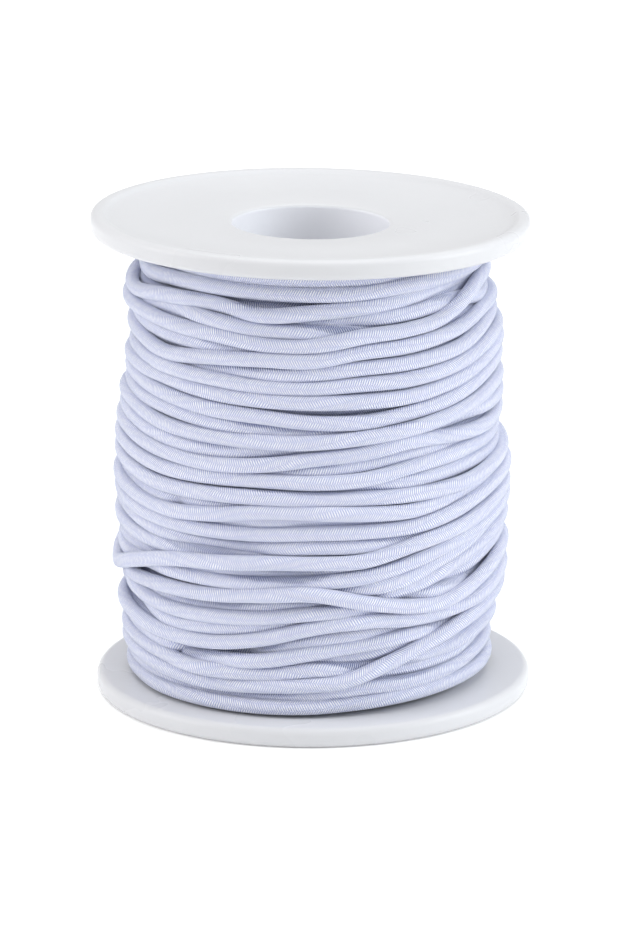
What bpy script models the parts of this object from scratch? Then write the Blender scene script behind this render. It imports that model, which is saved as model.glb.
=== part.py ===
"""A roll of round braided elastic: a moulded plastic spool with the cord wound on it in uneven turns.

Metres, +Z up. The origin is at the middle of the lower flange's underside. The photographed
front faces -Y, and angles round the spool run from the front (0) towards +X (90).
"""

import math

import bmesh
import bpy
import numpy as np

MM = 0.001

# Driving sizes of the spool
FLANGE_RADIUS = 35.0 * MM
SPOOL_HEIGHT = 78.0 * MM
FLANGE_THICKNESS = 3.2 * MM
HOLE_RADIUS = 12.5 * MM
TUBE_WALL = 1.6 * MM
RIM_WIDTH = 2.7 * MM
RIM_STEP = 0.6 * MM
FACE_DISH = 1.5 * MM
DISH_FLAT_RADIUS = 21.0 * MM
DISH_STEPS = 3
EDGE_ROUND = 1.1 * MM
LIP_ROUND = 0.6 * MM
TUBE_FILLET = 0.8 * MM
TOP_FLANGE_LEAN = math.radians(1.0)
SPOOL_SEGMENTS = 64
ARC_SEGMENTS = 3
SMOOTH_UP_TO_DEG = 50

# Driving sizes of the wound cord
CORD_DIAMETER = 2.5 * MM
FIT_GAP = 0.3 * MM
CROSSING_LIFT = 0.6 * MM
CROSSING_ORDER = 5
DEEPEST_VALLEY = 0.95 * MM
LEAST_SPACING = 1.5 * MM
CREST_HALF_WIDTH = 0.45
WINDING_COLUMNS = 56
BACK_EVENNESS = 0.8

# How full the winding is: radius over the turns at each height, both in mm
BODY_HEIGHTS = (4, 12, 22, 36, 46, 60, 68, 74)
BODY_RADII = (29.8, 29.9, 31.2, 31.8, 30.9, 30.4, 29.8, 29.0)

# Height of each turn's middle in mm at the named angles across the front, from the top turn down.
# A turn of a higher order lies over those of a lower one where they cross.
TURN_ANGLES = (-75, -50, -30, -15, 0, 15, 30, 50, 75)
TURNS = (
    # order, left end to right end
    (1, 73.4, 73.4, 73.4, 73.4, 73.3, 73.2, 73.1, 72.9, 72.8),
    (3, 69.4, 71.0, 71.3, 71.3, 71.1, 71.1, 71.5, 71.8, 72.0),
    (2, 67.6, 68.8, 68.8, 67.9, 68.4, 68.8, 69.4, 70.2, 70.6),
    (5, 65.2, 64.6, 64.2, 63.4, 63.4, 64.6, 64.8, 66.6, 69.2),
    (3, 60.9, 59.8, 60.6, 61.0, 61.0, 62.0, 62.2, 63.1, 64.8),
    (1, 59.2, 58.6, 58.7, 58.6, 58.8, 59.4, 59.5, 60.2, 62.4),
    (2, 58.0, 57.6, 57.2, 56.7, 56.6, 56.9, 56.9, 57.7, 60.0),
    (3, 56.2, 55.5, 54.8, 54.5, 54.3, 54.2, 54.2, 55.3, 57.7),
    (3, 54.0, 53.1, 52.3, 51.9, 51.2, 51.0, 51.6, 52.9, 55.2),
    (2, 49.9, 48.4, 48.0, 48.0, 48.1, 48.6, 49.3, 50.6, 52.2),
    (3, 45.4, 44.1, 43.9, 44.4, 45.4, 46.1, 47.2, 46.6, 46.4),
    (3, 42.6, 41.6, 41.7, 41.9, 41.8, 42.0, 43.0, 43.7, 43.8),
    (3, 39.9, 38.9, 39.1, 39.3, 39.2, 39.0, 38.7, 38.9, 40.2),
    (2, 36.2, 35.2, 35.9, 37.0, 37.1, 36.6, 36.2, 37.2, 38.6),
    (3, 33.9, 33.1, 33.1, 33.3, 33.7, 33.6, 33.6, 35.0, 37.2),
    (1, 32.0, 31.1, 30.9, 31.0, 31.3, 31.2, 31.8, 33.3, 35.8),
    (6, 23.0, 26.8, 28.3, 28.9, 28.9, 29.0, 30.8, 32.3, 34.4),
    (3, 24.7, 25.0, 25.1, 25.3, 25.7, 26.3, 27.9, 30.1, 32.4),
    (6, 21.4, 22.2, 22.7, 23.5, 24.0, 22.3, 20.7, 21.3, 24.5),
    (2, 19.4, 18.6, 19.0, 19.6, 20.6, 20.8, 20.0, 20.2, 22.7),
    (4, 15.3, 14.4, 14.7, 16.1, 18.2, 19.1, 18.4, 18.7, 20.8),
    (2, 13.0, 12.4, 12.6, 13.9, 15.8, 16.8, 16.9, 16.6, 17.8),
    (6, 9.0, 8.1, 7.8, 8.2, 8.7, 10.2, 12.8, 16.0, 18.0),
    (3, 11.2, 10.4, 10.1, 10.2, 11.1, 10.9, 11.6, 12.2, 13.2),
    (2, 7.2, 6.3, 6.1, 6.3, 6.7, 7.6, 7.5, 8.0, 9.0),
    (3, 4.9, 4.8, 4.8, 4.8, 4.9, 5.2, 5.5, 5.7, 5.8),
)


def arc(centre_r, centre_z, radius, start_deg, end_deg):
    """Points (r, z) of a quarter round in a turned profile."""
    angles = np.radians(np.linspace(start_deg, end_deg, ARC_SEGMENTS + 1))
    return [(centre_r + radius * math.cos(a), centre_z + radius * math.sin(a)) for a in angles]


def upper_half_profile():
    """Spool section from the top of the bore, over the flange, down to the tube below it."""
    top = SPOOL_HEIGHT
    face = top - FACE_DISH
    under = top - FLANGE_THICKNESS
    rim_inner = FLANGE_RADIUS - RIM_WIDTH
    edge_centre = FLANGE_RADIUS - EDGE_ROUND
    tube_outer = HOLE_RADIUS + TUBE_WALL
    lip = arc(HOLE_RADIUS + LIP_ROUND, face - LIP_ROUND, LIP_ROUND, 180, 90)
    dish = []
    for share in np.linspace(0, 1, DISH_STEPS + 1):
        radius = DISH_FLAT_RADIUS + share * (rim_inner - DISH_FLAT_RADIUS)
        dish.append((radius, face + share ** 2 * (FACE_DISH - RIM_STEP)))
    rim = [(rim_inner + RIM_STEP, top)]
    edge = arc(edge_centre, top - EDGE_ROUND, EDGE_ROUND, 90, 0)
    edge += arc(edge_centre, under + EDGE_ROUND, EDGE_ROUND, 0, -90)
    fillet = arc(tube_outer + TUBE_FILLET, under - TUBE_FILLET, TUBE_FILLET, 90, 180)
    return lip + dish + rim + edge + fillet


def spool_profile():
    """Closed section of the whole spool. The lower flange is the upper one turned over."""
    upper = upper_half_profile()
    lower = [(r, SPOOL_HEIGHT - z) for r, z in reversed(upper)]
    return upper + lower


def curve_through(places, values, wanted):
    """Value at one place of the smooth curve through values at increasing places."""
    slopes = np.gradient(values, places)
    left = min(int(np.searchsorted(places, wanted, side="right")) - 1, len(places) - 2)
    width = places[left + 1] - places[left]
    t = (wanted - places[left]) / width
    from_left = values[left] * (1 + 2 * t) * (1 - t) ** 2 + slopes[left] * width * t * (1 - t) ** 2
    from_right = values[left + 1] * t ** 2 * (3 - 2 * t) - slopes[left + 1] * width * t ** 2 * (1 - t)
    return from_left + from_right


def turn_heights(angle_deg):
    """Heights of the turns' middles at an angle, from the top down, and which of them cross over others.

    Across the front they follow the table. Round the back each turn leads from the right end that has
    its place in the pile to the left end that has it, more evenly spaced in between.
    """
    end = TURN_ANGLES[-1]
    if abs(angle_deg) <= end:
        heights = np.array([curve_through(TURN_ANGLES, turn[1:], angle_deg) for turn in TURNS])
        pile = np.argsort(heights)[::-1]
        return heights[pile] * MM, np.array([TURNS[row][0] >= CROSSING_ORDER for row in pile])
    from_right = np.sort([turn[-1] for turn in TURNS])[::-1]
    to_left = np.sort([turn[1] for turn in TURNS])[::-1]
    share = (angle_deg - end) % 360 / (360 - 2 * end)
    ease = share ** 2 * (3 - 2 * share)
    heights = (1 - ease) * from_right + ease * to_left
    even = np.linspace(heights[0], heights[-1], len(heights))
    heights += BACK_EVENNESS * math.sin(math.pi * share) ** 2 * (even - heights)
    return heights * MM, np.zeros(len(heights), bool)


def spread_apart(heights, lowest, highest):
    """Keeps neighbouring ridges at one column at least LEAST_SPACING apart, from the top down."""
    heights = np.clip(heights, lowest, highest)
    for row in range(1, len(heights)):
        heights[row] = min(heights[row], heights[row - 1] - LEAST_SPACING)
    heights[-1] = max(heights[-1], lowest)
    for row in range(len(heights) - 2, -1, -1):
        heights[row] = max(heights[row], heights[row + 1] + LEAST_SPACING)
    return heights


def valley_depth(spacing):
    """Depth of the groove between two round turns that lie the given distance apart."""
    radius = CORD_DIAMETER / 2
    half = np.minimum(spacing / 2, radius)
    return np.minimum(radius - np.sqrt(radius ** 2 - half ** 2), DEEPEST_VALLEY)


def body_radius(heights):
    """Radius over the turns at the given heights."""
    return np.interp(heights, np.array(BODY_HEIGHTS) * MM, np.array(BODY_RADII) * MM)


def height_under_top_flange(x):
    """Highest that the cord reaches under the leaning flange, at a place x to the right."""
    return SPOOL_HEIGHT - FLANGE_THICKNESS - FIT_GAP - x * math.tan(TOP_FLANGE_LEAN)


def column_section(angle_deg):
    """Section (r, z) of the winding at one angle, from its inner top edge round to its inner bottom."""
    across = math.sin(math.radians(angle_deg))
    inner = HOLE_RADIUS + TUBE_WALL + FIT_GAP
    inner_edge = inner + TUBE_FILLET
    bottom = FLANGE_THICKNESS + FIT_GAP
    top = height_under_top_flange(BODY_RADII[-1] * MM * across)
    half_cord = CORD_DIAMETER / 2
    heights, lifted = turn_heights(angle_deg)
    crests = spread_apart(heights, bottom + half_cord, top - half_cord)
    crest_radius = body_radius(crests) + CROSSING_LIFT * lifted
    spacing = crests[:-1] - crests[1:]
    valleys = (crests[:-1] + crests[1:]) / 2
    valley_radius = np.minimum(crest_radius[:-1], crest_radius[1:]) - valley_depth(spacing)
    shoulder = CREST_HALF_WIDTH * half_cord
    shoulder_drop = half_cord * (1 - math.sqrt(1 - CREST_HALF_WIDTH ** 2))
    outer = [(crest_radius[0] - half_cord, top)]
    for row in range(len(crests)):
        outer.append((crest_radius[row] - shoulder_drop, crests[row] + shoulder))
        outer.append((crest_radius[row] - shoulder_drop, crests[row] - shoulder))
        if row < len(valleys):
            outer.append((valley_radius[row], valleys[row]))
    outer.append((crest_radius[-1] - half_cord, bottom))
    inner_edge_top = height_under_top_flange(inner_edge * across)
    beside_tube = [(inner_edge, bottom), (inner, bottom + TUBE_FILLET), (inner, inner_edge_top - TUBE_FILLET)]
    return [(inner_edge, inner_edge_top)] + outer + beside_tube


def finish_mesh(mesh):
    """Smooth shading that keeps the real edges."""
    mesh.shade_smooth()
    mesh.set_sharp_from_angle(angle=math.radians(SMOOTH_UP_TO_DEG))


def make_spool(collection, material):
    """Turns the section into a solid, then leans the upper flange as it stands in the photograph."""
    profile = spool_profile()
    mesh = bpy.data.meshes.new("spool")
    points = [(r, 0.0, z) for r, z in profile]
    edges = [(i, (i + 1) % len(points)) for i in range(len(points))]
    mesh.from_pydata(points, edges, [])
    turned = bpy.data.objects.new("spool_section", mesh)
    collection.objects.link(turned)
    screw = turned.modifiers.new("turn", "SCREW")
    screw.steps = SPOOL_SEGMENTS
    screw.render_steps = SPOOL_SEGMENTS
    screw.use_merge_vertices = True
    screw.merge_threshold = 0.00001
    bpy.context.view_layer.update()
    graph = bpy.context.evaluated_depsgraph_get()
    solid_mesh = bpy.data.meshes.new_from_object(turned.evaluated_get(graph))
    bpy.data.objects.remove(turned)
    for vertex in solid_mesh.vertices:
        if vertex.co.z > SPOOL_HEIGHT / 2:
            vertex.co.z -= vertex.co.x * math.tan(TOP_FLANGE_LEAN)
    solid_mesh.name = "spool"
    spool = bpy.data.objects.new("spool", solid_mesh)
    collection.objects.link(spool)
    solid_mesh.materials.append(material)
    finish_mesh(solid_mesh)
    return spool


def make_winding(collection, material):
    """One solid of the wound cord: a ridge for each turn of the table, crossings standing proud."""
    angles = [360 * column / WINDING_COLUMNS - 180 for column in range(WINDING_COLUMNS)]
    sections = [column_section(angle) for angle in angles]
    build = bmesh.new()
    grid = []
    for angle, section in zip(angles, sections):
        across = math.sin(math.radians(angle))
        towards_front = -math.cos(math.radians(angle))
        grid.append([build.verts.new((r * across, r * towards_front, z)) for r, z in section])
    rows = len(grid[0])
    for column in range(WINDING_COLUMNS):
        here, there = grid[column], grid[(column + 1) % WINDING_COLUMNS]
        for row in range(rows):
            after = (row + 1) % rows
            build.faces.new((here[row], here[after], there[after], there[row]))
    bmesh.ops.recalc_face_normals(build, faces=build.faces)
    mesh = bpy.data.meshes.new("winding")
    build.to_mesh(mesh)
    build.free()
    winding = bpy.data.objects.new("winding", mesh)
    collection.objects.link(winding)
    mesh.materials.append(material)
    finish_mesh(mesh)
    return winding


def make_material(name, colour, roughness, metallic):
    material = bpy.data.materials.new(name)
    material.use_nodes = True
    shader = material.node_tree.nodes["Principled BSDF"]
    shader.inputs["Base Color"].default_value = (*colour, 1.0)
    shader.inputs["Roughness"].default_value = roughness
    shader.inputs["Metallic"].default_value = metallic
    return material


def main():
    for existing in list(bpy.data.objects):
        bpy.data.objects.remove(existing)
    collection = bpy.data.collections.new("roll_of_elastic")
    bpy.context.scene.collection.children.link(collection)
    white_plastic = make_material("white_plastic", (0.80, 0.81, 0.83), roughness=0.35, metallic=0.0)
    braided_cord = make_material("braided_cord", (0.72, 0.75, 0.88), roughness=0.85, metallic=0.0)
    make_spool(collection, white_plastic)
    make_winding(collection, braided_cord)


main()
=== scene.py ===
"""Looks of a roll of round braided elastic: a moulded white spool with the cord wound on it.

Metres, +Z up, the photographed front towards -Y. Angles round the spool run from the front (0)
towards +X (90), in degrees.
"""

import math

import bpy
import numpy as np
from mathutils import Matrix, Vector


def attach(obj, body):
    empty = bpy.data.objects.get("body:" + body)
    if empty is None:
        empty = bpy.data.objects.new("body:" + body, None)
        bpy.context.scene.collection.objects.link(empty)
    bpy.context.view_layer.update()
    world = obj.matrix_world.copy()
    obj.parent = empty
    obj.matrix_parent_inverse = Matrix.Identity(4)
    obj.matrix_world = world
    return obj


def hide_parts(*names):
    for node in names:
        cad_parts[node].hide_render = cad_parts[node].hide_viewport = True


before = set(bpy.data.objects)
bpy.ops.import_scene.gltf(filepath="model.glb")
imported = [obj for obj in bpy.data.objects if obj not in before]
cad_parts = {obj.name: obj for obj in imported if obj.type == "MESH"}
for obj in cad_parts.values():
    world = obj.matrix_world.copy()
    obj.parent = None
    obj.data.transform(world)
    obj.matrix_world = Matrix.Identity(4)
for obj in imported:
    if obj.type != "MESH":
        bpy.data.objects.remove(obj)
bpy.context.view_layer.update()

MM = 0.001

# The view: the image's size in pixels, and the camera that saw the spool in it
IMAGE_HEIGHT = 931
FOCAL_PIXELS = 4974
SENSOR_WIDTH = 36.0
VIEW_ELEVATION = math.radians(15.3)
VIEW_DISTANCE = 800 * MM
VIEW_ROLL = math.radians(-0.3)
VIEW_TARGET = Vector((-0.25, 0.0, 36.3)) * MM

# The spool
FLANGE_RADIUS = 35.0 * MM
SPOOL_HEIGHT = 78.0 * MM
FLANGE_THICKNESS = 3.2 * MM
HOLE_RADIUS = 12.5 * MM
TUBE_RADIUS = HOLE_RADIUS + 1.6 * MM
RIM_WIDTH = 2.7 * MM
RIM_STEP = 0.6 * MM
FACE_DISH = 1.5 * MM
DISH_FLAT_RADIUS = 21.0 * MM
DISH_STEPS = 6
TOP_FLANGE_LEAN = math.radians(1.0)
UPPER_FACES_FROM = SPOOL_HEIGHT / 2 + 10 * MM
ROUND_STEPS = 192
SPOOL_SMOOTH_ANGLE = math.radians(35)

# The spool's rounded rings: radius of the ring, width of the round, segments
ROUNDED_RINGS = (
    (FLANGE_RADIUS, 1.1 * MM, 6),
    (HOLE_RADIUS, 0.6 * MM, 5),
    (TUBE_RADIUS, 0.8 * MM, 4),
    (FLANGE_RADIUS - RIM_WIDTH + RIM_STEP, 0.35 * MM, 3),
    (FLANGE_RADIUS - RIM_WIDTH, 0.5 * MM, 3),
)

# How closely faces, rings and vertices have to fit while the spool is made
AXIS_NEAR = 0.1 * MM
RING_NEAR = 0.05 * MM
EDGE_NEAR = 0.01 * MM
MERGE_NEAR = 0.002 * MM
FLAT_NORMAL = 0.99
SIDE_NORMAL = 0.1

# The cord and its turns; radii and heights of the winding are in mm until the mesh is made
CORD_DIAMETER = 2.36
CORD_ACROSS = 1.03
CORD_DEPTH = 0.97
PRESSED_SHARE = 0.84
CORD_SIDES = 20
CORD_SMOOTH_ANGLE = math.radians(60)
LAP_LENGTH = 190.0
LAPS_A_PIECE = 16
FREE_GAP = 0.25
LOWEST_MIDDLE = FLANGE_THICKNESS / MM + FREE_GAP + CORD_DIAMETER / 2
HIGHEST_MIDDLE = (SPOOL_HEIGHT - FLANGE_THICKNESS) / MM - FREE_GAP - CORD_DIAMETER / 2
LEAN_RADIUS = 28.0

# Where along the cord it is thicker and thinner: share, step in mm, start
SWELLS = ((0.02, 9.0, 0.0), (0.012, 3.7, 1.0))

# The angles at which each turn is worked out
STEPS_A_TURN = 240
TURN_GRID = np.linspace(-180, 180, STEPS_A_TURN, endpoint=False)

# Ends that run under another turn or sink beneath it, in degrees and mm
SINK_DEPTH = 3.6
SINK_ANGLE = 34.0
TUCK_NEAR = 12.0
TUCK_FAR = 27.0
TUCK_SHARE = 0.4

# The top turn's right end and the bottom turn's left end go on round the back and sink: angle, rise
FREE_END_ANGLE = 145
FREE_LEFT_END = ((-160, -0.1), (-110, 0.0))
FREE_RIGHT_END = ((110, 0.2), (160, 0.4))

# The way round the back, between the right and the left edge of the table of turns
BACK_ANGLES = (105, 135, 165, 195, 225, 255)
BACK_SLOPE_KEPT = 0.35
BACK_EVENNESS = 0.97
BACK_CHANGE_FROM = 0.3
BACK_SQUEEZE = 0.17
BACK_WAVE = 0.15
WAVE_HEIGHT_STEP = 6.0
WAVE_ANGLE_STEP = 40
OWN_WAVE_SHARE = 0.6
OWN_WAVE_PHASE = 2.4
OWN_WAVE_ANGLE_STEP = 23

# How turns that meet are pressed over and under each other
RANK_SEED = 7
RANK_SPREAD = 0.2
RANK_LIFT = 0.18
MIDDLE_RANK = 3
SUNK_RANK_DROP = 8
SETTLE_ROUNDS = 160
LAST_ROUNDS = 10
PUSH_OUT = 0.4
PUSH_IN = 0.6
DRAW_BACK = 0.08

# Painted shade on the cord towards its neighbours and on its inward side, made weaker towards the left and
# right edges: distance from a neighbour's middle in cord radii
SHADE_PAINT_FAR = 1.15
SHADE_PAINT_TOUCH = 0.98
OUT_OF_REACH = 9
INWARD_FROM = -0.1
INWARD_SPAN = 0.8
UNDER_SHADE = 0.55
SIDE_GAP_LIGHT = 1.0

# Radius over the turns at each height
BODY_HEIGHTS = (4, 12, 22, 36, 46, 60, 68, 74)
BODY_RADII = (29.8, 29.9, 31.2, 31.8, 30.9, 30.4, 29.8, 29.0)

# How much fuller than that the winding is at its left and right edges
EDGE_FULLNESS = (
    # height, left edge, right edge
    (10, 0.5, -0.8),
    (15, 1.3, -0.5),
    (18, 0.3, -0.6),
    (20, -1.0, 0.2),
    (22, -0.4, 0.5),
    (25, 0.0, -0.2),
    (30, 0.7, 0.6),
    (34, 0.0, -0.6),
    (38, 0.2, 0.3),
    (44, 0.5, -1.0),
    (49, 0.3, 0.5),
    (52, -0.2, -0.2),
    (56, -1.3, 0.1),
    (60, -0.9, 0.6),
    (64, -1.2, -0.6),
    (67, -0.2, -0.9),
    (70, -2.2, -1.5),
)

# The turns beneath, which show only in the gaps
UNDER_TURNS = 31
UNDER_TOP_GAP = 0.5
UNDER_DEPTH = 1.7
UNDER_SIDES = 10
UNDER_STEPS = 144

# Height of each turn's middle at the named angles, from the top turn down. Rank: how far out it lies,
# from 0 (a sliver between others) to 6 (crosses over them). HID: it runs under the others there.
HID = None
TURN_ANGLES = (-75, -50, -30, -15, 0, 15, 30, 50, 75)
TURNS = (
    # name, rank, left end to right end
    ("t01", 1, 73.8, 73.7, 73.6, 73.4, 73.3, 73.2, 73.1, 72.9, 72.8),
    ("t02", 3, 70.4, 71.3, 71.4, 71.3, 71.1, 71.1, 71.5, 71.8, 72.0),
    ("t03", 2, 67.6, 68.8, 68.8, 67.9, 68.4, 68.8, 69.4, 70.2, 70.6),
    ("t04", 1, HID, HID, HID, 67.0, 66.8, 66.9, 67.1, 67.6, 66.4),
    ("t05", 2, 66.2, 67.0, 66.5, 65.6, 65.4, HID, HID, HID, HID),
    ("over_top", 5, 65.2, 64.6, 64.2, 63.4, 63.4, 64.6, 64.8, 66.6, 69.2),
    ("t07_low", 0, 62.9, 62.4, 62.2, 62.0, HID, HID, HID, HID, HID),
    ("t07", 3, 60.9, 59.8, 60.6, 61.0, 61.0, 62.0, 62.2, 63.1, 64.8),
    ("t08", 1, 59.2, 58.6, 58.7, 58.6, 58.8, 59.4, 59.5, 60.2, 62.4),
    ("t09", 2, 58.0, 57.6, 57.2, 56.7, 56.6, 56.9, 56.9, 57.7, 60.0),
    ("t10", 3, 56.2, 55.5, 54.8, 54.5, 54.3, 54.2, 54.2, 55.3, 57.7),
    ("t11", 3, 54.0, 53.1, 52.3, 51.9, 51.2, 51.0, 51.6, 52.9, 55.2),
    ("t12", 0, 51.6, 50.9, 50.1, 49.7, 49.5, 49.6, 50.2, 51.3, 53.0),
    ("t13", 2, 49.9, 48.4, 48.0, 48.0, 48.1, 48.6, 49.3, 50.5, 52.0),
    ("t14", 1, 47.6, 46.3, 45.8, 46.3, 46.9, 47.6, 48.4, 49.2, 49.4),
    ("t15", 3, 45.4, 44.1, 43.9, 44.4, 45.4, 46.1, 47.2, 46.6, 46.4),
    ("t16", 0, HID, HID, HID, 43.2, 43.5, 44.1, 45.1, 45.2, HID),
    ("t17", 3, 42.6, 41.6, 41.7, 41.9, 41.8, 42.0, 43.0, 43.7, 43.8),
    ("t18", 0, HID, HID, HID, HID, 40.5, 40.7, 40.8, 41.2, 41.6),
    ("t19", 3, 39.9, 38.9, 39.1, 39.3, 39.2, 39.0, 38.7, 38.9, 40.2),
    ("t20", 0, 37.6, 36.9, 37.4, 37.9, HID, HID, HID, HID, HID),
    ("t21", 2, 36.2, 35.2, 35.9, 37.0, 37.1, 36.6, 36.2, 37.2, 38.6),
    ("t22", 0, HID, HID, 34.8, 35.3, 35.6, 35.4, 35.0, HID, HID),
    ("t23", 3, 33.9, 33.1, 33.1, 33.3, 33.7, 33.6, 33.6, 35.0, 37.2),
    ("t24", 1, 32.0, 31.1, 30.9, 31.0, 31.3, 31.2, 31.8, 33.3, 35.8),
    ("over_left", 6, 23.0, 26.8, 28.3, 28.9, 28.9, 29.0, 30.8, 32.3, 34.4),
    ("t25_low", 1, 29.3, 29.0, 29.2, HID, HID, HID, HID, HID, HID),
    ("t26", 0, 26.6, 27.0, 27.0, 26.9, 27.1, 27.7, HID, HID, HID),
    ("t27", 3, 24.7, 25.0, 25.1, 25.3, 25.7, 26.3, 27.9, 30.1, 32.4),
    ("over_middle", 6, 21.4, 22.2, 22.7, 23.5, 24.0, 22.3, 20.7, 21.3, 24.5),
    ("t29", 1, HID, HID, HID, HID, HID, 24.3, 25.6, 28.2, 31.0),
    ("t30", 1, HID, HID, HID, HID, HID, HID, 23.7, 26.1, 29.0),
    ("t31", 0, HID, HID, HID, HID, HID, HID, 22.9, 24.3, 26.7),
    ("t32", 1, 21.0, 20.2, 20.4, 21.3, 22.1, 22.3, 22.2, 22.4, HID),
    ("t33", 2, 19.4, 18.6, 19.0, 19.6, 20.6, 20.8, 20.0, 20.2, 22.7),
    ("t35", 1, 18.2, 16.5, 17.0, 18.0, 19.2, HID, HID, HID, HID),
    ("t34", 4, 15.3, 14.4, 14.7, 16.1, 18.2, 19.1, 18.4, 18.7, 20.8),
    ("t36", 2, 13.0, 12.4, 12.6, 13.9, 15.8, 16.8, 16.9, 16.6, 17.8),
    ("t37", 2, HID, HID, 11.9, 12.5, 13.9, 14.8, 15.7, 16.0, HID),
    ("t38", 2, HID, HID, HID, 11.8, 12.6, 12.9, 14.2, 13.9, 15.2),
    ("over_low", 6, 9.0, 8.1, 7.8, 8.2, 8.7, 10.2, 12.8, 16.0, 18.0),
    ("t40", 3, 11.2, 10.4, 10.1, 10.2, 11.1, 10.9, 11.6, 12.2, 13.2),
    ("t41", 1, HID, HID, HID, HID, HID, 9.4, 9.8, 10.4, 11.8),
    ("t42", 2, 7.2, 6.3, 6.1, 6.3, 6.7, 7.6, 7.5, 8.0, 9.0),
    ("t43", 3, 4.9, 4.8, 4.8, 4.8, 4.9, 5.2, 5.5, 5.7, 5.8),
)

# More points of the turns that cross over the others: angle and height
CROSSING_POINTS = {
    "over_top": ((45, 65.7), (60, 68.3)),
    "over_left": ((-84, 21.7), (-60, 25.4), (-40, 27.8)),
    "over_middle": ((40, 20.3),),
    "over_low": ((8, 9.1), (22, 11.5), (37, 14.0), (60, 16.9)),
}


def make_camera():
    """The camera stands where the photograph was taken from."""
    data = bpy.data.cameras.new("camera")
    data.sensor_width = SENSOR_WIDTH
    data.lens = FOCAL_PIXELS / IMAGE_HEIGHT * SENSOR_WIDTH
    camera = bpy.data.objects.new("camera", data)
    bpy.context.scene.collection.objects.link(camera)
    back = Vector((0, -math.cos(VIEW_ELEVATION), math.sin(VIEW_ELEVATION)))
    level = Vector((1, 0, 0))
    upright = back.cross(level)
    right = math.cos(VIEW_ROLL) * level + math.sin(VIEW_ROLL) * upright
    up = math.cos(VIEW_ROLL) * upright - math.sin(VIEW_ROLL) * level
    turn = Matrix((right, up, back)).transposed()
    camera.matrix_world = Matrix.LocRotScale(VIEW_TARGET + back * VIEW_DISTANCE, turn.to_quaternion(), None)
    bpy.context.scene.camera = camera


# Finishes

class Value:
    """A number in a material. Python's signs between two of them add the Math nodes."""

    def __init__(self, finish, socket):
        self.finish = finish
        self.socket = socket

    def math(self, operation, *others):
        return self.finish.node("ShaderNodeMath", {"operation": operation}, [self, *others])

    def __add__(self, other):
        return self.math("ADD", other)

    def __sub__(self, other):
        return self.math("SUBTRACT", other)

    def __rsub__(self, other):
        return self * -1 + other

    def __mul__(self, other):
        return self.math("MULTIPLY", other)

    def __truediv__(self, other):
        return self.math("DIVIDE", other)


class Finish:
    """One material while it is made."""

    def __init__(self, name, **constants):
        self.material = bpy.data.materials.new(name)
        self.material.use_nodes = True
        self.tree = self.material.node_tree
        self.shader = self.tree.nodes["Principled BSDF"]
        for words, value in constants.items():
            self.shader.inputs[words.replace("_", " ").title()].default_value = value

    def node(self, kind, settings, sockets, out=0):
        """Adds a node: its settings first, then the values or links of its sockets, by place or by name."""
        made = self.tree.nodes.new(kind)
        for key, value in settings.items():
            setattr(made, key, value)
        for key, value in sockets.items() if isinstance(sockets, dict) else enumerate(sockets):
            self.feed(made.inputs[key], value)
        return Value(self, made.outputs[out])

    def feed(self, socket, value):
        if isinstance(value, Value):
            self.tree.links.new(value.socket, socket)
        elif socket.type == "RGBA":
            socket.default_value = (*value, 1.0)
        else:
            socket.default_value = value

    def mix(self, share, first, second):
        """The first colour where share is 0, the second where it is 1."""
        colours = {"Factor": share, 6: first, 7: second}
        return self.node("ShaderNodeMix", {"data_type": "RGBA"}, colours, out=2)

    def object_place(self):
        return self.node("ShaderNodeTexCoord", {}, [], out=3)

    def noise(self, scale, where, detail=2.0):
        return self.node("ShaderNodeTexNoise", {}, {"Vector": where, "Scale": scale, "Detail": detail})

    def noise_along(self, length, step):
        """A number that drifts with a length, over about the given step in the same unit."""
        sockets = {"W": length / step, "Scale": 1.0, "Detail": 1.0}
        return self.node("ShaderNodeTexNoise", {"noise_dimensions": "1D"}, sockets)

    def smooth(self, value, low, high):
        """0 below low, 1 above high, and a soft rise between them."""
        return self.node("ShaderNodeMapRange", {"interpolation_type": "SMOOTHSTEP"}, [value, low, high])

    def chance(self, first, second):
        """A number from 0 to 1 for each pair of whole numbers."""
        pair = self.node("ShaderNodeCombineXYZ", {}, [first.math("FLOOR"), second.math("FLOOR")])
        return self.node("ShaderNodeTexWhiteNoise", {"noise_dimensions": "2D"}, {"Vector": pair})

    def show(self, colour, roughness, height, depth):
        """Links what varies to the shader: colour, roughness, and a relief of the given depth in metres."""
        self.feed(self.shader.inputs["Base Color"], colour)
        self.feed(self.shader.inputs["Roughness"], roughness)
        relief = self.node("ShaderNodeBump", {}, {"Strength": 1.0, "Distance": depth, "Height": height})
        self.feed(self.shader.inputs["Normal"], relief)
        return self.material


# The braid: lengths in mm along the cord
BRAID_PITCH = 0.37
STITCH_ROWS = 6
BRAID_SLANT = 1.5
SLANT_SPREAD = 0.9
BRAID_DRIFT_STEP = 30.0
SLANT_DRIFT_START = 57.0
STITCH_RISE = (-1.0, 0.4)
STITCH_TAPER = 0.3
SPECK_RISE = (0.4, 0.6)
SPECK_SHARE = 0.2
SPECK_SHINE = 0.15
BRAID_ROUGHNESS = 0.8
BRAID_RELIEF = 0.1 * MM
BRAID_BLOTCH_SCALE = 160.0
RIB_LIGHT = ((0.90, 0.92, 1.0), (0.95, 0.955, 1.0))
# Painted shade for the stitch valleys; the crests keep the cord's own tones
RIB_VALLEY_SHADE = ((0.40, 0.44, 0.70), (0.48, 0.52, 0.78))
# Painted shade between the turns: its strength, how far the stitches tooth it, and its colour
PAINTED_SHADE_STRENGTH = 0.75
TOOTH_SHARE = 1.1
PAINTED_SHADE_COLOUR = (0.09, 0.125, 0.33)
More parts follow.
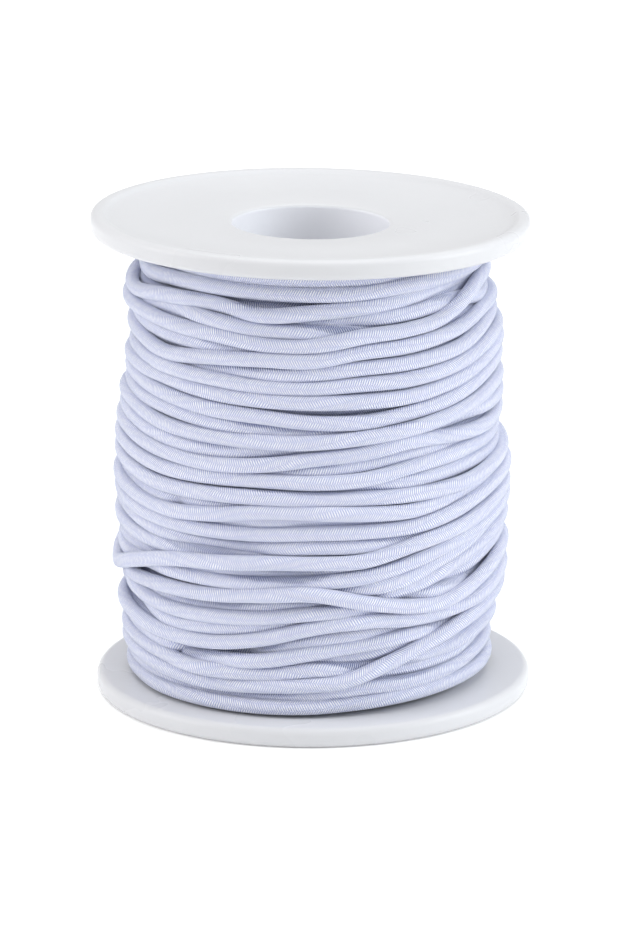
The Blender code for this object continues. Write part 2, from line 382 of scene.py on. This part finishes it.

# The plastic: two close tones, fine scuffs and a grain, and a bore painted lighter, as painted light shining
# through the thin wall
PLASTIC_TONES = ((0.635, 0.64, 0.66), (0.67, 0.675, 0.69))
PLASTIC_BLOTCH_SCALE = 45.0
PLASTIC_ROUGHNESS = 0.24
ROUGHNESS_SPREAD = 0.08
PLASTIC_RELIEF = 0.02 * MM
GRAIN_SCALE = 900.0
SCUFF_SCALE = 420.0
SCUFF_RISE = (0.68, 0.78)
SCUFF_SHARE = 0.12
SCUFF_DEPTH_SHARE = 0.2
SCUFF_COLOUR = (0.62, 0.63, 0.66)
BORE_PAINTED_LIGHT = (0.82, 0.83, 0.87)
BORE_BLEND = 0.15 * MM


def braid_finish():
    """Rows of small slanted stitches along the cord, each row leaning the other way, as a braid's do, with
    painted shade in the stitch valleys and where the cord meets its neighbours.
    """
    finish = Finish("braided_cord", Sheen_Weight=0.9, Sheen_Roughness=0.35,
                    Sheen_Tint=(0.88, 0.93, 1.0, 1.0))
    uv = finish.node("ShaderNodeUVMap", {"uv_map": "braid"}, [])
    around = finish.node("ShaderNodeSeparateXYZ", {}, [uv], out=0)
    along = finish.node("ShaderNodeSeparateXYZ", {}, [uv], out=1)
    place = (around + finish.noise_along(along, BRAID_DRIFT_STEP)) * STITCH_ROWS
    row = place.math("FLOOR")
    across = place - row
    stitch_length = across * (1 - across) * 4
    slant_drift = finish.noise_along(along + SLANT_DRIFT_START, BRAID_DRIFT_STEP)
    slant = slant_drift * SLANT_SPREAD + (BRAID_SLANT - SLANT_SPREAD / 2)
    phase = along / BRAID_PITCH + place.math("PINGPONG", 1.0) * slant + row * 0.5
    wave = finish.smooth((phase * (2 * math.pi)).math("COSINE"), *STITCH_RISE)
    stitch = wave * (stitch_length * STITCH_TAPER + (1 - STITCH_TAPER))
    speck = finish.smooth(finish.chance(phase + 0.5, place * 2) * stitch, *SPECK_RISE)
    blotch = finish.noise(BRAID_BLOTCH_SCALE, finish.object_place())
    light = finish.mix(blotch, *RIB_LIGHT)
    # Painted shade in the stitch valleys
    valley_shade = finish.mix(blotch, *RIB_VALLEY_SHADE)
    braid = finish.mix(stitch * (1 - SPECK_SHARE) + speck * SPECK_SHARE, valley_shade, light)
    # Painted shade from the mesh, toothed by the stitches, darkens the braid's colour where the turns meet
    painted_shade = finish.node("ShaderNodeAttribute", {"attribute_name": "painted_shade"}, [], out=2)
    toothed_painted_shade = painted_shade * (1 + TOOTH_SHARE / 2 - wave * TOOTH_SHARE)
    colour = finish.mix(toothed_painted_shade * PAINTED_SHADE_STRENGTH, braid, PAINTED_SHADE_COLOUR)
    roughness = BRAID_ROUGHNESS - speck * SPECK_SHINE
    return finish.show(colour, roughness, stitch + speck * SPECK_SHARE, BRAID_RELIEF)


def plastic_finish():
    """Moulded natural plastic: soft sheen, a faint mottle, a few fine scuffs, and a bore painted lighter as
    painted light from within.
    """
    finish = Finish("white_plastic", Subsurface_Weight=0.1, Subsurface_Scale=0.002,
                    Subsurface_Radius=(1, 1, 1))
    finish.shader.inputs["Specular IOR Level"].default_value = 0.2
    place = finish.object_place()
    across = finish.node("ShaderNodeVectorMath", {"operation": "MULTIPLY"}, [place, (1.0, 1.0, 0.0)])
    radius = finish.node("ShaderNodeVectorMath", {"operation": "LENGTH"}, [across], out=1)
    blotch = finish.noise(PLASTIC_BLOTCH_SCALE, place, detail=3.0)
    scuff = finish.smooth(finish.noise(SCUFF_SCALE, place, detail=4.0), *SCUFF_RISE)
    colour = finish.mix(blotch, *PLASTIC_TONES)
    colour = finish.mix(scuff * SCUFF_SHARE, colour, SCUFF_COLOUR)
    # The bore's lighter colour is painted light
    flange = finish.smooth(radius, HOLE_RADIUS, HOLE_RADIUS + BORE_BLEND)
    colour = finish.mix(flange, BORE_PAINTED_LIGHT, colour)
    grain = finish.noise(GRAIN_SCALE, place, detail=3.0)
    roughness = blotch * ROUGHNESS_SPREAD + PLASTIC_ROUGHNESS
    return finish.show(colour, roughness, grain - scuff * SCUFF_DEPTH_SHARE, PLASTIC_RELIEF)


# The spool

def deselect():
    if bpy.context.object and bpy.context.object.mode == "EDIT":
        bpy.ops.object.mode_set(mode="OBJECT")
    bpy.ops.object.select_all(action="DESELECT")


def pick(piece, faces=None, edges=None):
    """In edit mode, selects the faces, by middle and normal, or the edges, by both ends, that fit a test."""
    bpy.ops.mesh.select_all(action="DESELECT")
    bpy.ops.object.mode_set(mode="OBJECT")
    mesh = piece.data
    if faces:
        for face in mesh.polygons:
            face.select = faces(face.center, face.normal)
    if edges:
        for edge in mesh.edges:
            ends = [mesh.vertices[v].co for v in edge.vertices]
            edge.select = edges(*ends)
    bpy.ops.object.mode_set(mode="EDIT")


def radius_of(point):
    return math.hypot(point.x, point.y)


def is_end_face(middle, normal):
    """The round face in the middle of either end."""
    return abs(normal.z) > FLAT_NORMAL and radius_of(middle) < AXIS_NEAR


def is_waist_face(middle, normal):
    """A face of the block's side, between the two flanges."""
    return abs(normal.z) < SIDE_NORMAL and abs(middle.z - SPOOL_HEIGHT / 2) < 1 * MM


def sink_face(piece, side, inset, depth):
    """Insets the round end face on the given side (1 above, -1 below) and moves it inwards."""
    pick(piece, faces=lambda middle, normal: is_end_face(middle, normal) and normal.z * side > 0)
    bpy.ops.mesh.inset(thickness=inset, depth=-depth, use_even_offset=True)


def round_ring(piece, radius, width, segments):
    """Rounds the circular edges of the given radius."""
    bpy.ops.mesh.select_mode(type="EDGE")

    def on_ring(first, second):
        level = abs(first.z - second.z) < EDGE_NEAR
        circular = abs(radius_of(first) - radius_of(second)) < EDGE_NEAR
        return level and circular and abs(radius_of(first) - radius) < RING_NEAR

    pick(piece, edges=on_ring)
    bpy.ops.mesh.bevel(offset=width, segments=segments, profile=0.5, affect="EDGES", clamp_overlap=False)
    bpy.ops.mesh.select_mode(type="FACE")


def make_spool(material):
    """Two dished flanges on a tube, cut from one round block as on a lathe."""
    deselect()
    half = SPOOL_HEIGHT / 2
    bpy.ops.mesh.primitive_cylinder_add(vertices=ROUND_STEPS, radius=FLANGE_RADIUS, depth=SPOOL_HEIGHT,
                                        location=(0, 0, half))
    spool = bpy.context.object
    spool.name = "moulded_spool"
    bpy.ops.object.transform_apply(location=True, rotation=True, scale=True)
    bpy.ops.object.mode_set(mode="EDIT")
    bpy.ops.mesh.select_mode(type="FACE")
    for height in (FLANGE_THICKNESS, SPOOL_HEIGHT - FLANGE_THICKNESS):
        bpy.ops.mesh.select_all(action="SELECT")
        bpy.ops.mesh.bisect(plane_co=(0, 0, height), plane_no=(0, 0, 1))
    pick(spool, faces=is_waist_face)
    bpy.ops.mesh.extrude_region_move()
    share = TUBE_RADIUS / FLANGE_RADIUS
    bpy.ops.transform.resize(value=(share, share, 1), center_override=(0, 0, half))
    dish = FACE_DISH - RIM_STEP
    slope_width = FLANGE_RADIUS - RIM_WIDTH - DISH_FLAT_RADIUS
    for side in (1, -1):
        sink_face(spool, side, RIM_WIDTH - RIM_STEP, 0)
        sink_face(spool, side, RIM_STEP, RIM_STEP)
        for step in range(DISH_STEPS):
            outer_share = 1 - step / DISH_STEPS
            inner_share = 1 - (step + 1) / DISH_STEPS
            drop = dish * (outer_share ** 2 - inner_share ** 2)
            sink_face(spool, side, slope_width / DISH_STEPS, drop)
        sink_face(spool, side, DISH_FLAT_RADIUS - HOLE_RADIUS, 0)
    pick(spool, faces=is_end_face)
    bpy.ops.mesh.bridge_edge_loops()
    for radius, width, segments in ROUNDED_RINGS:
        round_ring(spool, radius, width, segments)
    # With no window this call turns the other way round, so the lean is given with a minus
    pick(spool, faces=lambda middle, normal: middle.z > UPPER_FACES_FROM)
    bpy.ops.transform.rotate(value=-TOP_FLANGE_LEAN, orient_axis="Y", center_override=(0, 0, SPOOL_HEIGHT))
    bpy.ops.mesh.select_all(action="SELECT")
    bpy.ops.mesh.remove_doubles(threshold=MERGE_NEAR)
    bpy.ops.mesh.normals_make_consistent(inside=False)
    bpy.ops.object.mode_set(mode="OBJECT")
    bpy.ops.object.shade_smooth_by_angle(angle=SPOOL_SMOOTH_ANGLE)
    spool.data.materials.clear()
    spool.data.materials.append(material)
    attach(spool, "root")
    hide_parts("spool")


# The winding

def curve_through(places, values, wanted):
    """Smooth curve through values at increasing places."""
    places = np.asarray(places, float)
    values = np.asarray(values, float)
    slopes = np.gradient(values, places)
    left = np.clip(np.searchsorted(places, wanted, side="right") - 1, 0, len(places) - 2)
    width = places[left + 1] - places[left]
    t = (wanted - places[left]) / width
    t = np.clip(t, 0, 1)
    from_left = values[left] * (1 + 2 * t) * (1 - t) ** 2 + slopes[left] * width * t * (1 - t) ** 2
    from_right = values[left + 1] * t ** 2 * (3 - 2 * t) - slopes[left + 1] * width * t ** 2 * (1 - t)
    return from_left + from_right


class Lap:
    """One turn of the table, from the back (-180) over the front to the back again (180)."""

    def __init__(self, number, row):
        name, self.rank, *heights = row
        self.number = number
        points = {angle: height for angle, height in zip(TURN_ANGLES, heights) if height is not HID}
        points.update(CROSSING_POINTS.get(name, ()))
        self.points = sorted(points.items())
        self.left_shows = heights[0] is not HID
        self.right_shows = heights[-1] is not HID
        self.before = None
        self.after = None
        self.back_before = []
        self.back_after = []

    def left_height(self):
        return dict(self.points)[TURN_ANGLES[0]]

    def end_slope(self, right):
        (a0, z0), (a1, z1) = self.points[-2:] if right else self.points[:2]
        return (z1 - z0) / (a1 - a0)

    def height_at(self, angle):
        places, values = zip(*self.points)
        return float(curve_through(places, values, angle))

    def reaches(self, angle):
        return self.points[0][0] <= angle <= self.points[-1][0]


def tuck_ends(laps):
    """Leads the ends that show no more under the nearest turn that lies further out."""
    tucked = []
    for lap in laps:
        for right in (False, True):
            if (lap.right_shows if right else lap.left_shows):
                continue
            angle, height = lap.points[-1 if right else 0]
            way = 1 if right else -1
            near, far = angle + way * TUCK_NEAR, angle + way * TUCK_FAR
            covers = [c for c in laps if c.rank > lap.rank and c.reaches(angle)]
            cover = min(covers, key=lambda c: abs(c.height_at(near) - height))
            tucked.append((lap, right, (near, height + TUCK_SHARE * (cover.height_at(near) - height)),
                           (far, cover.height_at(far))))
    for lap, right, near, far in tucked:
        lap.points = lap.points + [near, far] if right else [far, near] + lap.points


def join_laps(laps):
    """Leads each turn's right end round the back to the left end of the turn above it."""
    right_ends = sorted((lap for lap in laps if lap.right_shows), key=lambda lap: -lap.points[-1][1])
    left_ends = sorted((lap for lap in laps if lap.left_shows), key=lambda lap: -lap.left_height())
    links = list(zip(right_ends[1:], left_ends))
    for lap, target in links:
        lap.after, target.before = target, lap
    for angle in BACK_ANGLES:
        t = back_share(angle)
        heights = np.array([back_height(lap, target, t) for lap, target in links])
        even = np.linspace(heights[0], heights[-1], len(links))
        heights += BACK_EVENNESS * math.sin(math.pi * t) * (even - heights)
        for number, (lap, target) in enumerate(links):
            height = heights[number]
            shared_wave = math.sin(height / WAVE_HEIGHT_STEP + angle / WAVE_ANGLE_STEP)
            own_wave = math.sin(number * OWN_WAVE_PHASE + angle / OWN_WAVE_ANGLE_STEP)
            drift = shared_wave + OWN_WAVE_SHARE * own_wave
            height += BACK_WAVE * drift * math.sin(math.pi * t)
            lap.back_after.append((angle, height))
            target.back_before.append((angle - 360, height))


def back_share(angle):
    """How far round the back an angle is: 0 at the right, 1 at the left."""
    return (angle % 360 - TURN_ANGLES[-1]) / (360 - 2 * TURN_ANGLES[-1])


def back_height(lap, target, t):
    """Height of the smooth way from a turn's right end to another's left end."""
    start, end = lap.points[-1][1], target.left_height()
    span = 360 - 2 * TURN_ANGLES[-1]
    lead_out = lap.end_slope(True) * span * BACK_SLOPE_KEPT
    lead_in = target.end_slope(False) * span * BACK_SLOPE_KEPT
    height = start * (1 + 2 * t) * (1 - t) ** 2 + end * t * t * (3 - 2 * t)
    return height + lead_out * t * (1 - t) ** 2 - lead_in * t * t * (1 - t)


def lay_out(laps):
    """Height, rank, presence and sinking of each lap at each step round the spool."""
    shape = (len(laps), STEPS_A_TURN)
    heights, rank, sink = np.zeros(shape), np.zeros(shape), np.zeros(shape)
    there = np.zeros(shape, bool)
    change = np.clip((back_share(TURN_GRID) - BACK_CHANGE_FROM) / (1 - 2 * BACK_CHANGE_FROM), 0, 1)
    for lap in laps:
        points = list(lap.points)
        first = points[0][0] + (0 if lap.left_shows else TUCK_FAR - TUCK_NEAR)
        last = points[-1][0] - (0 if lap.right_shows else TUCK_FAR - TUCK_NEAR)
        own = np.full(STEPS_A_TURN, float(lap.rank))
        if lap.before:
            points = lap.back_before + points
            changing = lap.before.rank + (lap.rank - lap.before.rank) * change
            own = np.where(TURN_GRID < TURN_ANGLES[0], changing, own)
            first = -180
        elif lap.left_shows:
            points = [(angle, points[0][1] + rise) for angle, rise in FREE_LEFT_END] + points
            first = -FREE_END_ANGLE
        if lap.after:
            points = points + lap.back_after
            changing = lap.rank + (lap.after.rank - lap.rank) * change
            own = np.where(TURN_GRID > TURN_ANGLES[-1], changing, own)
            last = 180
        elif lap.right_shows:
            points = points + [(angle, points[-1][1] + rise) for angle, rise in FREE_RIGHT_END]
            last = FREE_END_ANGLE
        places, values = zip(*points)
        heights[lap.number] = curve_through(places, values, TURN_GRID)
        low_end = first if first == -180 else first - SINK_ANGLE
        high_end = last if last == 180 else last + SINK_ANGLE
        there[lap.number] = (TURN_GRID >= low_end) & (TURN_GRID <= high_end)
        sunk = np.zeros(STEPS_A_TURN)
        if first != -180:
            sunk = np.maximum(sunk, np.clip((first - TURN_GRID) / SINK_ANGLE, 0, 1))
        if last != 180:
            sunk = np.maximum(sunk, np.clip((TURN_GRID - last) / SINK_ANGLE, 0, 1))
        sink[lap.number] = sunk * sunk * (3 - 2 * sunk)
        rank[lap.number] = own
    return heights, rank, there, sink


def along_the_cord(values, laps):
    """Each lap's values with one step of the laps before and after it at its ends."""
    left = values[:, :1].copy()
    right = values[:, -1:].copy()
    for lap in laps:
        if lap.before:
            left[lap.number] = values[lap.before.number, -1:]
        if lap.after:
            right[lap.number] = values[lap.after.number, :1]
    return np.concatenate([left, values, right], axis=1)


def crest_radius(heights, angles):
    """Radius over the turns at the given heights and angles round the spool."""
    places, left, right = np.array(EDGE_FULLNESS, float).T
    across = np.sin(np.radians(angles))
    crest = np.interp(heights, BODY_HEIGHTS, BODY_RADII)
    crest += np.interp(heights, places, left) * np.maximum(-across, 0) ** 2
    return crest + np.interp(heights, places, right) * np.maximum(across, 0) ** 2


def settle(laps, heights, rank, there, sink):
    """Radius of each lap's middle: turns that meet ride over or under each other, drawn tight."""
    back = np.sin(np.pi * np.clip(back_share(TURN_GRID), 0, 1))
    pressed = CORD_DIAMETER * PRESSED_SHARE * (1 - BACK_SQUEEZE * back)
    crest = crest_radius(heights, TURN_GRID)
    rest = crest - CORD_DIAMETER / 2 + RANK_LIFT * (rank - MIDDLE_RANK) - SINK_DEPTH * sink
    over_rank = rank - SUNK_RANK_DROP * sink
    apart = heights[:, None, :] - heights[None, :, :]
    need = np.sqrt(np.maximum(pressed ** 2 - apart ** 2, 0))
    both = there[:, None, :] & there[None, :, :]
    both &= ~np.eye(len(laps), dtype=bool)[:, :, None]
    over = (over_rank[:, None, :] > over_rank[None, :, :]) & both & (need > 0)
    radius = rest.copy()
    firm = 1 - sink[None, :, :]
    for done in range(SETTLE_ROUNDS):
        push = np.maximum(need - (radius[:, None, :] - radius[None, :, :]), 0) * over
        radius = radius + PUSH_OUT * (push * firm).max(axis=1) - PUSH_IN * push.max(axis=0)
        if done < SETTLE_ROUNDS - LAST_ROUNDS:
            radius += DRAW_BACK * (rest - radius)
        wide = along_the_cord(radius, laps)
        radius = 0.5 * radius + 0.25 * (wide[:, :-2] + wide[:, 2:])
    return radius


def section_angles(sides):
    return np.linspace(0, 2 * math.pi, sides, endpoint=False)


def painted_shade_between_turns(heights, radius, there):
    """How near each point round each lap's section is to another lap, as painted shade: 1 where they touch
    or where it faces inward, 0 in the open.
    """
    half = CORD_DIAMETER / 2
    near = np.zeros((*heights.shape, CORD_SIDES))
    for side, angle in enumerate(section_angles(CORD_SIDES)):
        out = (radius + half * math.cos(angle))[:, None, :] - radius[None, :, :]
        up = (heights + half * math.sin(angle))[:, None, :] - heights[None, :, :]
        distance = np.hypot(out, up) / half
        distance[~np.broadcast_to(there[None, :, :], distance.shape)] = OUT_OF_REACH
        distance[np.eye(len(heights), dtype=bool)] = OUT_OF_REACH
        share = np.clip((SHADE_PAINT_FAR - distance.min(axis=1)) / (SHADE_PAINT_FAR - SHADE_PAINT_TOUCH), 0, 1)
        inward = np.clip((INWARD_FROM - math.cos(angle)) / INWARD_SPAN, 0, 1)
        near[:, :, side] = np.maximum(share * share * (3 - 2 * share), inward)
    return near


def tube_mesh(name, paths, sides, material):
    """One mesh of closed-ended tubes, each from its middle line in mm, start length and painted shade."""
    vertices, faces, uvs, shades = [], [], [], []
    cosine = np.cos(section_angles(sides))[None, :, None]
    sine = np.sin(section_angles(sides))[None, :, None]
    half = CORD_DIAMETER / 2
    for path, start_length, near in paths:
        shades.append(near.ravel())
        tangent = np.gradient(path, axis=0)
        tangent /= np.linalg.norm(tangent, axis=1)[:, None]
        outward = np.stack([path[:, 0], path[:, 1], np.zeros(len(path))], axis=1)
        outward -= (outward * tangent).sum(axis=1)[:, None] * tangent
        outward /= np.linalg.norm(outward, axis=1)[:, None]
        across = np.cross(tangent, outward)
        stretches = np.linalg.norm(np.diff(path, axis=0), axis=1)
        length = start_length + np.concatenate([[0], np.cumsum(stretches)])
        swell = np.ones(len(length))
        for swell_share, swell_step, swell_start in SWELLS:
            swell += swell_share * np.sin(length / swell_step + swell_start)
        deep = (half * CORD_DEPTH * swell)[:, None, None] * cosine * outward[:, None, :]
        wide = (half * CORD_ACROSS * swell)[:, None, None] * sine * across[:, None, :]
        base = len(vertices)
        vertices.extend(((path[:, None, :] + deep + wide) * MM).reshape(-1, 3).tolist())
        for step in range(len(path) - 1):
            for side in range(sides):
                after = (side + 1) % sides
                low = base + step * sides
                faces.append((low + side, low + after, low + sides + after, low + sides + side))
                u0, u1 = side / sides, (side + 1) / sides
                corners = ((u0, step), (u1, step), (u1, step + 1), (u0, step + 1))
                uvs.extend((u, length[place]) for u, place in corners)
        for ring_number, flip in ((0, True), (len(path) - 1, False)):
            cap = [base + ring_number * sides + side for side in range(sides)]
            faces.append(tuple(cap[::-1] if flip else cap))
            uvs.extend([(side / sides, length[ring_number]) for side in range(sides)])
    mesh = bpy.data.meshes.new(name)
    mesh.from_pydata(vertices, [], faces)
    layer = mesh.uv_layers.new(name="braid")
    layer.data.foreach_set("uv", np.array(uvs, np.float32).ravel())
    # The painted shade between the turns is kept on the mesh as an attribute for the cord's material
    painted_shade = mesh.attributes.new("painted_shade", "FLOAT", "POINT")
    painted_shade.data.foreach_set("value", np.concatenate(shades).astype(np.float32))
    piece = bpy.data.objects.new(name, mesh)
    bpy.context.scene.collection.objects.link(piece)
    deselect()
    bpy.context.view_layer.objects.active = piece
    piece.select_set(True)
    bpy.ops.object.mode_set(mode="EDIT")
    bpy.ops.mesh.select_all(action="SELECT")
    bpy.ops.mesh.normals_make_consistent(inside=False)
    bpy.ops.object.mode_set(mode="OBJECT")
    bpy.ops.object.shade_smooth_by_angle(angle=CORD_SMOOTH_ANGLE)
    mesh.materials.append(material)
    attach(piece, "root")
    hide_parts("winding")


def on_spool(angles, radius, heights):
    """Points in mm from angles in degrees, radii and heights."""
    turn = np.radians(angles)
    return np.stack([radius * np.sin(turn), -radius * np.cos(turn), heights], axis=1)


def make_turns(material):
    """The turns that show, laid side by side and over each other as in the photograph."""
    laps = [Lap(number, row) for number, row in enumerate(TURNS)]
    tuck_ends(laps)
    extras = np.random.default_rng(RANK_SEED).uniform(-RANK_SPREAD, RANK_SPREAD, len(laps))
    for lap, extra in zip(laps, extras):
        lap.rank += extra
    join_laps(laps)
    heights, rank, there, sink = lay_out(laps)
    to_the_right = np.sin(np.radians(TURN_GRID))
    highest = HIGHEST_MIDDLE - LEAN_RADIUS * to_the_right * math.tan(TOP_FLANGE_LEAN)
    heights = np.clip(heights, LOWEST_MIDDLE, highest)
    radius = settle(laps, heights, rank, there, sink)
    near = painted_shade_between_turns(heights, radius, there)
    # Painted shade between the turns made weaker towards the left and right edges, as painted light reaching
    # into the gaps there
    near *= (1 - SIDE_GAP_LIGHT * to_the_right ** 2)[None, :, None]
    paths = []
    for lap in laps:
        shown = np.flatnonzero(there[lap.number])
        angles = TURN_GRID[shown]
        path_radius = radius[lap.number, shown]
        path_height = heights[lap.number, shown]
        path_painted_shade = near[lap.number, shown]
        if lap.after:
            after = lap.after.number
            angles = np.append(angles, 180.0)
            path_radius = np.append(path_radius, radius[after, 0])
            path_height = np.append(path_height, heights[after, 0])
            path_painted_shade = np.append(path_painted_shade, near[after, :1], axis=0)
        path = on_spool(angles, path_radius, path_height)
        paths.append((path, lap.number * LAP_LENGTH, path_painted_shade))
    for first in range(0, len(paths), LAPS_A_PIECE):
        name = f"outer_turns_{first // LAPS_A_PIECE + 1}"
        tube_mesh(name, paths[first:first + LAPS_A_PIECE], CORD_SIDES, material)


def make_under_turns(material):
    """The even layer beneath, a plain helix that closes the gaps, painted in shade all over and darkest away
    from its outer side.
    """
    highest = HIGHEST_MIDDLE - UNDER_TOP_GAP
    share = np.linspace(0, 1, UNDER_TURNS * UNDER_STEPS)
    heights = LOWEST_MIDDLE + (highest - LOWEST_MIDDLE) * share
    angles = share * 360 * UNDER_TURNS
    radius = crest_radius(heights, angles) - CORD_DIAMETER / 2 - UNDER_DEPTH
    path = on_spool(angles, radius, heights)
    # Painted shade over the whole layer beneath, strongest away from its outer side
    inward = np.clip((1 - np.cos(section_angles(UNDER_SIDES))) / INWARD_SPAN, UNDER_SHADE, 1)
    near = np.repeat(inward[None, :], len(path), axis=0)
    tube_mesh("under_turns", [(path, 0.0, near)], UNDER_SIDES, material)


# The stage

FLOOR_SIDE = 6.0
FLOOR_GLOW = 0.13
FLOOR_COLOUR = (0.92, 0.92, 0.92, 1.0)
ROOM_BRIGHTNESS = 0.52
WHITE = (1.0, 1.0, 1.0, 1.0)

# Soft square lights that face the roll: name, place, size, power, colour
LIGHTS = (
    ("top", (0.0, -0.1, 2.5), 2.4, 36.0, (1.0, 1.0, 1.0)),
    ("left", (-2.4, -0.3, 1.1), 1.6, 28.0, (1.0, 0.99, 1.0)),
    ("right", (2.4, -0.3, 1.1), 1.6, 42.0, (0.93, 0.97, 1.0)),
)


def make_stage():
    """A pale floor, a white surround and soft lights, the strongest at the right."""
    deselect()
    bpy.ops.mesh.primitive_plane_add(size=FLOOR_SIDE, location=(0, 0, 0))
    floor = bpy.context.object
    floor.name = "floor"
    finish = Finish("pale_floor", Base_Color=FLOOR_COLOUR, Roughness=0.9,
                    Emission_Color=WHITE, Emission_Strength=FLOOR_GLOW)
    floor.data.materials.append(finish.material)
    world = bpy.data.worlds.new("white_room")
    world.use_nodes = True
    world.node_tree.nodes["Background"].inputs["Color"].default_value = WHITE
    world.node_tree.nodes["Background"].inputs["Strength"].default_value = ROOM_BRIGHTNESS
    bpy.context.scene.world = world
    for light in LIGHTS:
        soft_light(*light)
    bpy.context.scene.view_settings.view_transform = "Standard"


def soft_light(name, place, size, power, colour):
    data = bpy.data.lights.new(name, "AREA")
    data.size = size
    data.energy = power
    data.color = colour
    light = bpy.data.objects.new(name, data)
    light.location = place
    light.rotation_mode = "QUATERNION"
    light.rotation_quaternion = (Vector(place) - VIEW_TARGET).to_track_quat("Z", "Y")
    bpy.context.scene.collection.objects.link(light)


make_camera()
make_spool(plastic_finish())
cord = braid_finish()
make_turns(cord)
make_under_turns(cord)
make_stage()
